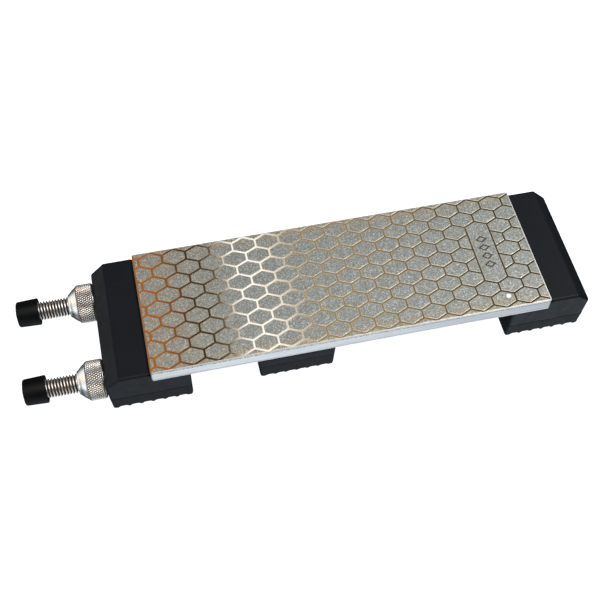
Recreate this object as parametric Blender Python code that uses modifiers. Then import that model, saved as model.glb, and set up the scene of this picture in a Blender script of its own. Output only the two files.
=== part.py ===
"""Bench sharpening-stone holder with a double-sided diamond plate.

Two threaded rods run lengthwise. They are anchored in a fixed jaw at +X, carry
a centre support, and pass through a sliding jaw at -X that two knurled nuts
push towards the plate. Rubber caps close the free rod ends.

Frame: +X along the rods towards the fixed jaw, -Y the front, +Z up. The origin
is the centre of the footprint on the bench. All sizes are in metres.
"""
import math

import bmesh
import bpy
from mathutils import Matrix, Vector

# ------------------------------------------------------------ driving sizes
GAP = 0.0003                 # between touching pieces

# diamond plate
STONE_L, STONE_W, STONE_T = 0.1700, 0.0600, 0.0063
STONE_TOP = 0.0264
STONE_X0 = -0.0680
SHEET_T = 0.0006
SHEET_GAP = 0.0002
STONE_CORNER = 0.0008

# rods (M8 x 1.25), caps and knurled nuts
ROD_R, ROD_Y, ROD_Z = 0.0040, 0.0194, 0.0115
ROD_PITCH = 0.00125
BORE_R = ROD_R + GAP
CAP_X0, CAP_X1 = -0.12076, -0.1109
CAP_R_END, CAP_R_RIM = 0.00555, 0.00585
CAP_WALL_END = 0.0018
NUT_R, NUT_NOSE_R = 0.0084, 0.0047
NUT_X0, NUT_X1, NUT_X2 = -0.0980, -0.09415, -0.0871
NUT_BORE_R = ROD_R + 0.00025

# jaws: u runs outward from the clamping face
JAW_TOP = 0.0248
JAW_TOP_W = 0.0125
JAW_CHAMFER_W = 0.0060
SHOULDER_Z = 0.0192
JAW_UNDERCUT = 0.0007
LEDGE_L = 0.0163
LEDGE_Z = STONE_TOP - STONE_T - GAP
PARTING_Z = 0.0087
WALL = 0.0020
EDGE_R = 0.0011
# half-widths of the rubber at four heights
HALF_WIDTHS = ((0.0, 0.02813), (PARTING_Z, 0.02875), (SHOULDER_Z, 0.02916), (JAW_TOP, 0.02967))
POCKET_HALF = 0.0270
CORE_HALF = POCKET_HALF - GAP

# wavy sole
RIB_PITCH, RIB_DEPTH, RIB_FLAT = 0.0050, 0.0009, 0.0016

# bushes of the sliding jaw, anchor nuts of the fixed jaw
BUSH_R, BUSH_L = 0.0057, 0.0140
FLANGE_R, FLANGE_T = 0.0070, 0.0015
HEX_FLATS, HEX_T = 0.0130, 0.0065
ANCHOR_U = 0.0050
ROD_END_U = 0.0140

# centre support
SUP_TOP_X, SUP_BOTTOM_X = (-0.0242, 0.0088), (-0.0229, 0.0092)
SUP_TOP_HALF, SUP_BOTTOM_HALF = 0.0300, 0.0259
SUP_PARTING_Z = 0.0122

STONE_X1 = STONE_X0 + STONE_L
CLAMP_LEFT = STONE_X0 - GAP
CLAMP_RIGHT = STONE_X1 + GAP
SHOULDER_U = JAW_TOP_W + JAW_CHAMFER_W

# ------------------------------------------------------------ scene set-up
for old in list(bpy.data.objects):
    bpy.data.objects.remove(old, do_unlink=True)

parts = bpy.data.collections.new("sharpening_stone_holder")
cutters = bpy.data.collections.new("cutters")
bpy.context.scene.collection.children.link(parts)
bpy.context.scene.collection.children.link(cutters)


def material(name, rgb, roughness, metallic):
    mat = bpy.data.materials.new(name)
    mat.use_nodes = True
    bsdf = mat.node_tree.nodes["Principled BSDF"]
    bsdf.inputs["Base Color"].default_value = (*rgb, 1.0)
    bsdf.inputs["Roughness"].default_value = roughness
    bsdf.inputs["Metallic"].default_value = metallic
    return mat


RUBBER = (0.016, 0.018, 0.021)


def place(name, mesh, mat, collection=parts):
    ob = bpy.data.objects.new(name, mesh)
    collection.objects.link(ob)
    if mat is not None:
        ob.data.materials.clear()
        ob.data.materials.append(mat)
    if collection is cutters:
        ob.hide_render = True
        ob.display_type = "WIRE"
    return ob


def round_shading(ob, angle=40.0):
    ob.data.shade_smooth()
    ob.data.set_sharp_from_angle(angle=math.radians(angle))


def outline_solid(name, points, half, mat, collection=parts, half_at=None):
    """A closed outline in X and Z, filled and extruded to +-half along Y.
    half_at(z) gives drafted sides."""
    curve = bpy.data.curves.new(name + "_outline", "CURVE")
    curve.dimensions = "2D"
    curve.fill_mode = "BOTH"
    curve.extrude = half
    spline = curve.splines.new("POLY")
    spline.points.add(len(points) - 1)
    for p, (x, z) in zip(spline.points, points):
        p.co = (x, z, 0.0, 1.0)
    spline.use_cyclic_u = True
    flat = bpy.data.objects.new(name + "_outline", curve)
    cutters.objects.link(flat)
    flat.rotation_euler = (math.pi / 2, 0.0, 0.0)
    bpy.context.view_layer.update()
    graph = bpy.context.evaluated_depsgraph_get()
    mesh = bpy.data.meshes.new_from_object(flat.evaluated_get(graph))
    mesh.transform(flat.matrix_world)
    mesh.name = name
    bpy.data.objects.remove(flat, do_unlink=True)
    bm = bmesh.new()
    bm.from_mesh(mesh)
    bmesh.ops.remove_doubles(bm, verts=bm.verts, dist=1e-6)
    bmesh.ops.dissolve_limit(bm, angle_limit=math.radians(0.5), verts=bm.verts, edges=bm.edges)
    if half_at is not None:
        for v in bm.verts:
            v.co.y *= half_at(v.co.z) / half
    bmesh.ops.recalc_face_normals(bm, faces=bm.faces)
    bm.to_mesh(mesh)
    bm.free()
    return place(name, mesh, mat, collection)


def box_solid(name, low, high, mat, collection=parts):
    bm = bmesh.new()
    bmesh.ops.create_cube(bm, size=1.0)
    size = [h - l for l, h in zip(low, high)]
    mid = [(h + l) / 2 for l, h in zip(low, high)]
    for v in bm.verts:
        v.co = Vector([c * s for c, s in zip(v.co, size)])
    mesh = bpy.data.meshes.new(name)
    bm.to_mesh(mesh)
    bm.free()
    ob = place(name, mesh, mat, collection)
    ob.location = mid
    return ob


def cylinder_cutter(name, radius, x0, x1, y, z, sides=32):
    bm = bmesh.new()
    bmesh.ops.create_cone(bm, cap_ends=True, segments=sides, radius1=radius, radius2=radius, depth=x1 - x0)
    bmesh.ops.rotate(bm, verts=bm.verts, matrix=Matrix.Rotation(math.pi / 2, 3, "Y"))
    mesh = bpy.data.meshes.new(name)
    bm.to_mesh(mesh)
    bm.free()
    ob = place(name, mesh, None, cutters)
    ob.location = ((x0 + x1) / 2, y, z)
    return ob


def turned(name, profile, x, y, z, mat, closed=False, steps=32):
    """A profile of (radius, height) turned about local Z, laid along world X."""
    mesh = bpy.data.meshes.new(name)
    edges = [(i, i + 1) for i in range(len(profile) - 1)]
    if closed:
        edges.append((len(profile) - 1, 0))
    mesh.from_pydata([(r, 0.0, h) for r, h in profile], edges, [])
    ob = place(name, mesh, mat)
    screw = ob.modifiers.new("turn", "SCREW")
    screw.axis = "Z"
    screw.angle = 2 * math.pi
    screw.steps = screw.render_steps = steps
    screw.use_merge_vertices = True
    screw.merge_threshold = 1e-6
    screw.use_smooth_shade = False
    ob.location = (x, y, z)
    ob.rotation_euler = (0.0, math.pi / 2, 0.0)
    return ob


def bevel_edges(ob, width, segments, wanted):
    """Rounds the sharp edges that wanted(edge) picks."""
    mesh = ob.data
    bm = bmesh.new()
    bm.from_mesh(mesh)
    layer = bm.edges.layers.float.get("bevel_weight_edge") or bm.edges.layers.float.new("bevel_weight_edge")
    for e in bm.edges:
        if len(e.link_faces) == 2 and e.calc_face_angle(0.0) > math.radians(20) and wanted(e):
            e[layer] = 1.0
    bm.to_mesh(mesh)
    bm.free()
    mod = ob.modifiers.new("round", "BEVEL")
    mod.width = width
    mod.segments = segments
    mod.limit_method = "WEIGHT"
    mod.harden_normals = False
    return mod


def cut(ob, *tools):
    for tool in tools:
        mod = ob.modifiers.new("cut_" + tool.name, "BOOLEAN")
        mod.operation = "DIFFERENCE"
        mod.solver = "EXACT"
        mod.object = tool


def group(name, point, children):
    """An empty on the joint's axis that carries the pieces of one moving body."""
    empty = bpy.data.objects.new(name, None)
    parts.objects.link(empty)
    empty.location = point
    for child in children:
        child.parent = empty
        child.matrix_parent_inverse = Matrix.Translation(Vector(point)).inverted()
    return empty


def half_width(z):
    rows = HALF_WIDTHS
    if z <= rows[0][0]:
        return rows[0][1]
    for (z0, h0), (z1, h1) in zip(rows, rows[1:]):
        if z <= z1:
            return h0 + (h1 - h0) * (z - z0) / (z1 - z0)
    return rows[-1][1]


def support_half_width(z):
    return SUP_BOTTOM_HALF + (SUP_TOP_HALF - SUP_BOTTOM_HALF) * z / LEDGE_Z


def outer_u(z):
    """Outward reach of the end face, which leans in a little below the shoulder."""
    return SHOULDER_U - JAW_UNDERCUT * (SHOULDER_Z - z) / SHOULDER_Z


def wave(x0, x1):
    """The sole's ribs from x0 to x1 along the bottom: flat crests on the bench
    with rounded grooves between them."""
    count = int(round((x1 - x0) / RIB_PITCH))
    pitch = (x1 - x0) / count
    points = []
    for i in range(count):
        crest = x0 + (i + 0.5) * pitch
        if i == 0:
            points.append((x0, RIB_DEPTH * 0.75))
        points.append((crest - RIB_FLAT / 2, 0.0))
        points.append((crest + RIB_FLAT / 2, 0.0))
        if i < count - 1:
            for t in (0.25, 0.5, 0.75):
                x = crest + RIB_FLAT / 2 + t * (pitch - RIB_FLAT)
                points.append((x, RIB_DEPTH * math.sin(math.pi * t)))
        else:
            points.append((x1, RIB_DEPTH * 0.75))
    return points


# ------------------------------------------------------------ diamond plate
y = STONE_W / 2
bottom = STONE_TOP - STONE_T
core = box_solid("stone_core",
                 (STONE_X0, -y, bottom + SHEET_T + SHEET_GAP), (STONE_X1, y, STONE_TOP - SHEET_T - SHEET_GAP),
                 material("stone_core", (0.74, 0.79, 0.84), 0.32, 1.0))
sheet_coarse = box_solid("diamond_sheet_coarse",
                         (STONE_X0, -y, STONE_TOP - SHEET_T), (STONE_X1, y, STONE_TOP),
                         material("diamond_sheet_coarse", (0.40, 0.39, 0.37), 0.45, 0.8))
sheet_fine = box_solid("diamond_sheet_fine",
                       (STONE_X0, -y, bottom), (STONE_X1, y, bottom + SHEET_T),
                       material("diamond_sheet_fine", (0.44, 0.44, 0.44), 0.42, 0.8))
for ob in (core, sheet_coarse, sheet_fine):
    bevel_edges(ob, STONE_CORNER, 2,
                lambda e: abs(e.verts[0].co.z - e.verts[1].co.z) > 0.5 * abs(e.verts[0].co.z) + 1e-6
                and abs(e.verts[0].co.x - e.verts[1].co.x) < 1e-6)
group("stone_lift", ((STONE_X0 + STONE_X1) / 2, 0.0, bottom), (core, sheet_coarse, sheet_fine))

# ------------------------------------------------------------ rods and caps
rod_x0 = CAP_X0 + CAP_WALL_END + GAP
rod_x1 = CLAMP_RIGHT + ROD_END_U
cap_l = CAP_X1 - CAP_X0
for side, sy in (("front", -1.0), ("rear", 1.0)):
    length = rod_x1 - rod_x0
    c = 0.0006
    turned("guide_rod_" + side,
           [(0.0, length), (ROD_R - c, length), (ROD_R, length - c), (ROD_R, c), (ROD_R - c, 0.0), (0.0, 0.0)],
           rod_x0, sy * ROD_Y, ROD_Z, material("guide_rod_" + side, (0.62, 0.61, 0.59), 0.22, 1.0), steps=32)
    dome = 0.0005
    cap = turned("rod_end_cap_" + side,
                 [(0.0, CAP_WALL_END), (BORE_R, CAP_WALL_END), (BORE_R, cap_l),
                  (CAP_R_RIM - 0.0003, cap_l), (CAP_R_RIM, cap_l - 0.0003),
                  (CAP_R_END, 0.0011), (CAP_R_END - 0.0004, 0.0005), (CAP_R_END - 0.0013, 0.00015), (0.0, 0.0)],
                 CAP_X0, sy * ROD_Y, ROD_Z, material("rod_end_cap_" + side, RUBBER, 0.5, 0.0), steps=32)
    round_shading(cap)

# ------------------------------------------------------------ knurled nuts
nut_l, nose = NUT_X2 - NUT_X0, NUT_X1 - NUT_X0
for side, sy in (("front", -1.0), ("rear", 1.0)):
    nut = turned("knurled_nut_" + side,
                 [(NUT_BORE_R, nut_l), (NUT_R - 0.0004, nut_l), (NUT_R, nut_l - 0.0004),
                  (NUT_R, nose + 0.0003), (NUT_R - 0.0003, nose),
                  (NUT_NOSE_R + 0.0003, 0.0002), (NUT_NOSE_R - 0.0001, 0.0), (NUT_BORE_R, 0.0)],
                 NUT_X0, sy * ROD_Y, ROD_Z, material("knurled_nut_" + side, (0.72, 0.70, 0.67), 0.16, 1.0),
                 closed=True, steps=40)
    round_shading(nut)

# ------------------------------------------------------------ jaws
def jaw(prefix, clamp_x, outward, through):
    """One jaw: a stiff core in a rubber cover, on a rubber sole. outward is -1
    for the jaw at -X and +1 for the jaw at +X."""
    def x_at(u):
        return clamp_x + outward * u

    def points(pairs):
        return [(x_at(u), z) for u, z in pairs]

    cover = outline_solid(prefix + "_cover", points([
        (-LEDGE_L, PARTING_Z), (-LEDGE_L, LEDGE_Z), (0.0, LEDGE_Z), (0.0, JAW_TOP),
        (JAW_TOP_W, JAW_TOP), (SHOULDER_U, SHOULDER_Z), (outer_u(PARTING_Z), PARTING_Z)]),
        half_width(JAW_TOP), material(prefix + "_cover", RUBBER, 0.62, 0.0), half_at=half_width)

    def off_the_parting_and_seat(e):
        a, b = e.verts
        on_parting = a.co.z < PARTING_Z + 1e-5 and b.co.z < PARTING_Z + 1e-5
        in_corner = all(abs(v.co.x - clamp_x) < 1e-5 and abs(v.co.z - LEDGE_Z) < 1e-5 for v in (a, b))
        return not on_parting and not in_corner

    bevel_edges(cover, EDGE_R, 2, off_the_parting_and_seat)
    round_shading(cover)

    low = PARTING_Z - 0.002
    pocket = outline_solid(prefix + "_pocket", points([
        (-LEDGE_L + WALL, low), (-LEDGE_L + WALL, LEDGE_Z - WALL), (WALL, LEDGE_Z - WALL), (WALL, JAW_TOP - WALL),
        (JAW_TOP_W - 0.4 * WALL, JAW_TOP - WALL), (SHOULDER_U - WALL, SHOULDER_Z - 0.4 * WALL),
        (outer_u(low) - WALL, low)]), POCKET_HALF, None, cutters)

    inset = WALL + GAP
    stiff = outline_solid(prefix + "_core", points([
        (-LEDGE_L + inset, PARTING_Z), (-LEDGE_L + inset, LEDGE_Z - inset), (inset, LEDGE_Z - inset),
        (inset, JAW_TOP - inset), (JAW_TOP_W - 0.4 * inset, JAW_TOP - inset),
        (SHOULDER_U - inset, SHOULDER_Z - 0.4 * inset), (outer_u(PARTING_Z) - inset, PARTING_Z)]),
        CORE_HALF, material(prefix + "_core", (0.09, 0.09, 0.095), 0.55, 0.0))

    inner, outer = sorted((x_at(-LEDGE_L), x_at(outer_u(0.0))))
    sole_top = PARTING_Z - GAP
    ribs = wave(inner, outer)
    top_left = x_at(outer_u(sole_top)) if outward < 0 else x_at(-LEDGE_L)
    top_right = x_at(-LEDGE_L) if outward < 0 else x_at(outer_u(sole_top))
    foot = outline_solid(prefix + "_foot", ribs + [(top_right, sole_top), (top_left, sole_top)],
                         half_width(sole_top), material(prefix + "_foot", RUBBER, 0.66, 0.0), half_at=half_width)

    cut(cover, pocket)
    for side, sy in (("front", -1.0), ("rear", 1.0)):
        far = SHOULDER_U + 0.002 if through else ROD_END_U + GAP
        a, b = sorted((x_at(-LEDGE_L - 0.002), x_at(far)))
        bore = cylinder_cutter(f"{prefix}_bore_{side}", BORE_R, a, b, sy * ROD_Y, ROD_Z)
        cut(cover, bore)
        cut(stiff, bore)
        cut(foot, bore)
        if through:
            # the flanged bush: barrel in the core, flange in the end wall
            a, b = sorted((x_at(outer_u(ROD_Z) - BUSH_L - GAP), x_at(SHOULDER_U + 0.002)))
            barrel = cylinder_cutter(f"{prefix}_barrel_{side}", BUSH_R + GAP, a, b, sy * ROD_Y, ROD_Z)
            a, b = sorted((x_at(outer_u(ROD_Z) - FLANGE_T - GAP), x_at(SHOULDER_U + 0.002)))
            flange = cylinder_cutter(f"{prefix}_flange_{side}", FLANGE_R + GAP, a, b, sy * ROD_Y, ROD_Z)
            for ob in (stiff, cover, foot):
                cut(ob, barrel)
            for ob in (cover, foot):
                cut(ob, flange)
        else:
            # the anchor nut drops into a slot from below
            a, b = sorted((x_at(ANCHOR_U - GAP), x_at(ANCHOR_U + HEX_T + GAP)))
            reach = HEX_FLATS / math.sqrt(3) + GAP
            slot = box_solid(f"{prefix}_slot_{side}",
                             (a, sy * ROD_Y - HEX_FLATS / 2 - GAP, ROD_Z - reach),
                             (b, sy * ROD_Y + HEX_FLATS / 2 + GAP, ROD_Z + reach), None, cutters)
            cut(stiff, slot)
            cut(foot, slot)
    return cover, stiff, foot


sliding = jaw("sliding_jaw", CLAMP_LEFT, -1.0, True)
fixed = jaw("fixed_jaw", CLAMP_RIGHT, 1.0, False)

# flanged bushes that take the nuts' thrust
bushes = []
face_x = CLAMP_LEFT - outer_u(ROD_Z)
for side, sy in (("front", -1.0), ("rear", 1.0)):
    bushes.append(turned("thrust_bush_" + side,
                         [(BORE_R, BUSH_L), (BUSH_R, BUSH_L), (BUSH_R, FLANGE_T), (FLANGE_R, FLANGE_T),
                          (FLANGE_R, 0.0), (BORE_R, 0.0)],
                         face_x, sy * ROD_Y, ROD_Z,
                         material("thrust_bush_" + side, (0.60, 0.48, 0.27), 0.35, 1.0), closed=True, steps=32))

# hexagonal anchor nuts, corners up and down
for side, sy in (("front", -1.0), ("rear", 1.0)):
    bm = bmesh.new()
    bmesh.ops.create_cone(bm, cap_ends=True, segments=6, radius1=HEX_FLATS / math.sqrt(3),
                          radius2=HEX_FLATS / math.sqrt(3), depth=HEX_T)
    bmesh.ops.rotate(bm, verts=bm.verts, matrix=Matrix.Rotation(math.pi / 2, 3, "Y"))
    tip = max(v.co.z for v in bm.verts)
    if tip < HEX_FLATS / math.sqrt(3) - 1e-6:
        bmesh.ops.rotate(bm, verts=bm.verts, matrix=Matrix.Rotation(math.pi / 6, 3, "X"))
    mesh = bpy.data.meshes.new("anchor_nut_" + side)
    bm.to_mesh(mesh)
    bm.free()
    nut = place("anchor_nut_" + side, mesh, material("anchor_nut_" + side, (0.55, 0.55, 0.54), 0.3, 1.0))
    nut.location = (CLAMP_RIGHT + ANCHOR_U + HEX_T / 2, sy * ROD_Y, ROD_Z)
    cut(nut, cylinder_cutter("anchor_bore_" + side, ROD_R + 0.0002,
                             CLAMP_RIGHT + ANCHOR_U - 0.002, CLAMP_RIGHT + ANCHOR_U + HEX_T + 0.002,
                             sy * ROD_Y, ROD_Z))

group("sliding_jaw_slide", (face_x, 0.0, ROD_Z), list(sliding) + bushes)

# ------------------------------------------------------------ centre support
def support_x(z, k):
    return SUP_BOTTOM_X[k] + (SUP_TOP_X[k] - SUP_BOTTOM_X[k]) * z / LEDGE_Z


body = outline_solid("center_support_body", [
    (support_x(SUP_PARTING_Z, 0), SUP_PARTING_Z), (support_x(SUP_PARTING_Z, 1), SUP_PARTING_Z),
    (SUP_TOP_X[1], LEDGE_Z), (SUP_TOP_X[0], LEDGE_Z)],
    SUP_TOP_HALF, material("center_support_body", RUBBER, 0.62, 0.0), half_at=support_half_width)
bevel_edges(body, EDGE_R, 2,
            lambda e: not all(v.co.z < SUP_PARTING_Z + 1e-5 for v in e.verts))
round_shading(body)
sole = SUP_PARTING_Z - GAP
foot = outline_solid("center_support_foot",
                     wave(*SUP_BOTTOM_X) + [(support_x(sole, 1), sole), (support_x(sole, 0), sole)],
                     support_half_width(sole), material("center_support_foot", RUBBER, 0.66, 0.0),
                     half_at=support_half_width)
for side, sy in (("front", -1.0), ("rear", 1.0)):
    bore = cylinder_cutter("center_support_bore_" + side, BORE_R, SUP_TOP_X[0] - 0.002, SUP_BOTTOM_X[1] + 0.002,
                           sy * ROD_Y, ROD_Z)
    cut(body, bore)
    cut(foot, bore)
group("center_support_slide", ((SUP_TOP_X[0] + SUP_TOP_X[1]) / 2, 0.0, ROD_Z), (body, foot))

bpy.context.view_layer.update()
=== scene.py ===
"""Looks of the bench sharpening-stone holder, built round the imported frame."""
import math

import bmesh
import bpy
from mathutils import Matrix, Vector


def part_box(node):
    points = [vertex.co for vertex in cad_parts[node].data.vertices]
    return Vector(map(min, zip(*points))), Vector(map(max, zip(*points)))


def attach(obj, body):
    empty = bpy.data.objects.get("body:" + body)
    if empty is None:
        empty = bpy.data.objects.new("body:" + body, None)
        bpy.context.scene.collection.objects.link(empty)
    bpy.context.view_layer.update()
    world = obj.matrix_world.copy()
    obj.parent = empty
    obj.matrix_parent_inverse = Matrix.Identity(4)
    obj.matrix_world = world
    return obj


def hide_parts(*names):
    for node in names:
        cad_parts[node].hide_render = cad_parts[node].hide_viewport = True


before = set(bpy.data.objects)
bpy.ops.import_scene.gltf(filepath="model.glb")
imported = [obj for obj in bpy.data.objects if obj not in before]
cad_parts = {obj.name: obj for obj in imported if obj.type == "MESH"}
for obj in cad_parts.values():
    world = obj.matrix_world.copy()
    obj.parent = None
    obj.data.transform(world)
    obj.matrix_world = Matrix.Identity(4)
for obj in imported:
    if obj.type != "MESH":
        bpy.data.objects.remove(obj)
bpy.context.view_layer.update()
MM = 0.001

# ---------------------------------------------------------------- camera
cam_data = bpy.data.cameras.new("camera")
cam = bpy.data.objects.new("camera", cam_data)
bpy.context.scene.collection.objects.link(cam)
bpy.context.scene.camera = cam
cam_data.sensor_width = 36.0
cam_data.lens = 62.15
cam_data.clip_start, cam_data.clip_end = 0.01, 50.0
right = Vector((0.97679, -0.21401, 0.00919))
down = Vector((-0.17359, -0.81595, -0.55144))
ahead = Vector((0.12551, 0.53705, -0.83416))
turn = Matrix((right, -down, -ahead)).transposed()
cam.matrix_world = Matrix.Translation((-0.05632, -0.24110, 0.38864)) @ turn.to_4x4()


# ---------------------------------------------------------------- node helpers
class Shader:
    """A Principled material with a few short-hands for its nodes."""

    def __init__(self, name, color=(0.5, 0.5, 0.5), rough=0.5, metal=0.0, **sockets):
        self.mat = bpy.data.materials.new(name)
        self.mat.use_nodes = True
        self.nt = self.mat.node_tree
        self.bsdf = self.nt.nodes["Principled BSDF"]
        self.set("Base Color", (*color, 1.0))
        self.set("Roughness", rough)
        self.set("Metallic", metal)
        for k, v in sockets.items():
            self.set(k.replace("_", " "), v)
        self.coord = self.nt.nodes.new("ShaderNodeTexCoord").outputs["Object"]

    def set(self, socket, value):
        self.bsdf.inputs[socket].default_value = value

    def link(self, out, socket):
        self.nt.links.new(out, self.bsdf.inputs[socket] if isinstance(socket, str) else socket)

    def mapped(self, scale=(1, 1, 1), loc=(0, 0, 0), rot=(0, 0, 0), vec=None):
        n = self.nt.nodes.new("ShaderNodeMapping")
        n.inputs["Scale"].default_value = scale
        n.inputs["Location"].default_value = loc
        n.inputs["Rotation"].default_value = rot
        self.nt.links.new(vec or self.coord, n.inputs["Vector"])
        return n.outputs["Vector"]

    def noise(self, scale, detail=2.0, rough=0.5, vec=None, out="Fac", distortion=0.0):
        n = self.nt.nodes.new("ShaderNodeTexNoise")
        n.inputs["Scale"].default_value = scale
        n.inputs["Detail"].default_value = detail
        n.inputs["Roughness"].default_value = rough
        n.inputs["Distortion"].default_value = distortion
        self.nt.links.new(vec or self.coord, n.inputs["Vector"])
        return n.outputs[out]

    def voronoi(self, scale, feature="F1", out="Distance", vec=None, random=1.0):
        n = self.nt.nodes.new("ShaderNodeTexVoronoi")
        n.feature = feature
        n.inputs["Scale"].default_value = scale
        n.inputs["Randomness"].default_value = random
        self.nt.links.new(vec or self.coord, n.inputs["Vector"])
        return n.outputs[out]

    def ramp(self, fac, stops, mode="LINEAR"):
        n = self.nt.nodes.new("ShaderNodeValToRGB")
        n.color_ramp.interpolation = mode
        el = n.color_ramp.elements
        while len(el) < len(stops):
            el.new(0.5)
        for e, (p, c) in zip(el, stops):
            e.position = p
            e.color = (*c, 1.0) if hasattr(c, "__len__") else (c, c, c, 1.0)
        self.nt.links.new(fac, n.inputs["Fac"])
        return n.outputs["Color"]

    def span(self, fac, a, b, to_a, to_b, smooth=False):
        n = self.nt.nodes.new("ShaderNodeMapRange")
        n.interpolation_type = "SMOOTHSTEP" if smooth else "LINEAR"
        n.inputs["From Min"].default_value = a
        n.inputs["From Max"].default_value = b
        n.inputs["To Min"].default_value = to_a
        n.inputs["To Max"].default_value = to_b
        self.nt.links.new(fac, n.inputs["Value"])
        return n.outputs["Result"]

    def math(self, op, a, b=None, c=None):
        n = self.nt.nodes.new("ShaderNodeMath")
        n.operation = op
        for i, v in enumerate((a, b, c)):
            if v is None:
                continue
            if hasattr(v, "is_linked"):
                self.nt.links.new(v, n.inputs[i])
            else:
                n.inputs[i].default_value = v
        return n.outputs["Value"]

    def mix(self, fac, a, b, blend="MIX"):
        n = self.nt.nodes.new("ShaderNodeMix")
        n.data_type = "RGBA"
        n.blend_type = blend
        for socket, v in ((n.inputs[0], fac), (n.inputs[6], a), (n.inputs[7], b)):
            if hasattr(v, "is_linked"):
                self.nt.links.new(v, socket)
            elif hasattr(v, "__len__"):
                socket.default_value = (*v, 1.0)
            else:
                socket.default_value = v
        return n.outputs[2]

    def xyz(self, vec=None):
        n = self.nt.nodes.new("ShaderNodeSeparateXYZ")
        self.nt.links.new(vec or self.coord, n.inputs[0])
        return n.outputs

    def bump(self, height, distance, strength=1.0, after=None):
        n = self.nt.nodes.new("ShaderNodeBump")
        n.inputs["Distance"].default_value = distance
        n.inputs["Strength"].default_value = strength
        self.nt.links.new(height, n.inputs["Height"])
        if after is not None:
            self.nt.links.new(after, n.inputs["Normal"])
        return n.outputs["Normal"]


def rubber(name, tone, rough, grain=1.0, dust=1.0, gloss=0.18):
    """Moulded rubber: faint mottling, a fine grain and a little dust."""
    s = Shader(name, tone, rough, 0.0, Specular_IOR_Level=gloss)
    mottle = s.noise(90.0, 4.0, 0.6)
    base = s.mix(s.span(mottle, 0.3, 0.7, 0.0, 1.0), [c * 0.84 for c in tone], [c * 1.16 for c in tone])
    cloud = s.noise(900.0, 3.0, 0.55)
    base = s.mix(s.span(cloud, 0.35, 0.75, 0.0, 0.35), base, [c * 1.5 for c in tone])
    specks = s.voronoi(210.0)
    rare = s.voronoi(210.0, out="Color")
    chosen = s.math("GREATER_THAN", s.xyz(rare)[0], 0.93)
    spot = s.math("MULTIPLY", s.span(specks, 0.018, 0.040, 1.0, 0.0), chosen)
    base = s.mix(s.math("MULTIPLY", spot, 0.75 * dust), base, (0.10, 0.115, 0.15))
    lint = s.noise(2600.0, 1.0, 0.5)
    base = s.mix(s.span(lint, 0.70, 0.80, 0.0, 0.16 * dust), base, (0.10, 0.11, 0.13))
    s.link(base, "Base Color")
    s.link(s.span(s.noise(300.0, 4.0, 0.6), 0.25, 0.75, rough - 0.07, rough + 0.07), "Roughness")
    fine = s.noise(5200.0, 2.0, 0.6)
    coarse = s.noise(1500.0, 3.0, 0.6)
    n1 = s.bump(fine, 0.00003, 0.55 * grain)
    s.link(s.bump(coarse, 0.00005, 0.30 * grain, n1), "Normal")
    return s.mat


def machined(name, tone, rough, lines=1.0, stain=(0.30, 0.20, 0.10), stain_by=0.0, groove=None):
    """Turned or ground metal: hair lines round the X axis, soft stains, uneven gloss.
    groove is (y, z, root radius, crest radius, x from, x to, low, high): between those two
    x painted shade covers the shares of the depth up to low and fades to nothing at high, with a painted warm rim."""
    s = Shader(name, tone, rough, 1.0)
    hair = s.noise(1.0, 3.0, 0.6, vec=s.mapped(scale=(9000.0, 260.0, 260.0)))
    cloud = s.noise(160.0, 4.0, 0.6)
    base = s.mix(s.span(cloud, 0.3, 0.7, 0.0, 1.0), [c * 0.93 for c in tone], [min(1.0, c * 1.05) for c in tone])
    if stain_by:
        base = s.mix(s.span(s.noise(420.0, 4.0, 0.65), 0.52, 0.75, 0.0, stain_by), base, stain)
    gloss = s.span(s.noise(700.0, 3.0, 0.6), 0.25, 0.75, rough * 0.94, rough * 1.25)
    if groove:
        cy, cz, root, crest, from_x, to_x, low, high = groove
        x, y, z = s.xyz()
        radius = s.math("SQRT", s.math("ADD", s.math("POWER", s.math("SUBTRACT", y, cy), 2.0),
                                       s.math("POWER", s.math("SUBTRACT", z, cz), 2.0)))
        # painted shade: the grooves turn dark and less metallic from the root up to high
        painted_groove_shade = s.span(radius, root + low * (crest - root), root + high * (crest - root), 1.0, 0.0, True)
        painted_groove_shade = s.math("MULTIPLY", painted_groove_shade, s.span(s.noise(1300.0, 3.0, 0.6), 0.25, 0.75, 0.86, 1.0))
        painted_groove_shade = s.math("MULTIPLY", painted_groove_shade, s.math("MULTIPLY", s.math("GREATER_THAN", x, from_x), s.math("LESS_THAN", x, to_x)))
        # painted warm reflection: an orange band along the edge of the painted groove shade
        thin = s.math("MULTIPLY", s.math("MULTIPLY", painted_groove_shade, s.math("SUBTRACT", 1.0, painted_groove_shade)), 4.0)
        thin = s.math("MULTIPLY", thin, s.span(s.noise(240.0, 3.0, 0.6), 0.40, 0.60, 0.10, 0.90))
        base = s.mix(thin, base, (0.80, 0.47, 0.16))
        base = s.mix(painted_groove_shade, base, (0.008, 0.006, 0.005))
        gloss = s.math("MAXIMUM", gloss, s.math("MULTIPLY", painted_groove_shade, 0.5))
        s.link(s.span(painted_groove_shade, 0.0, 1.0, 1.0, 0.25), "Metallic")
        s.link(s.span(painted_groove_shade, 0.0, 1.0, 0.50, 0.04), "Specular IOR Level")
    s.link(base, "Base Color")
    s.link(gloss, "Roughness")
    s.link(s.bump(hair, 0.000006, 0.5 * lines), "Normal")
    return s.mat


# ---------------------------------------------------------------- mesh helpers
def mesh_object(name, verts, faces, material, smooth_angle=35.0, weighted=True):
    mesh = bpy.data.meshes.new(name)
    mesh.from_pydata([tuple(v) for v in verts], [], [tuple(f) for f in faces])
    mesh.validate()
    return finished(name, mesh, material, smooth_angle, weighted)


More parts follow.
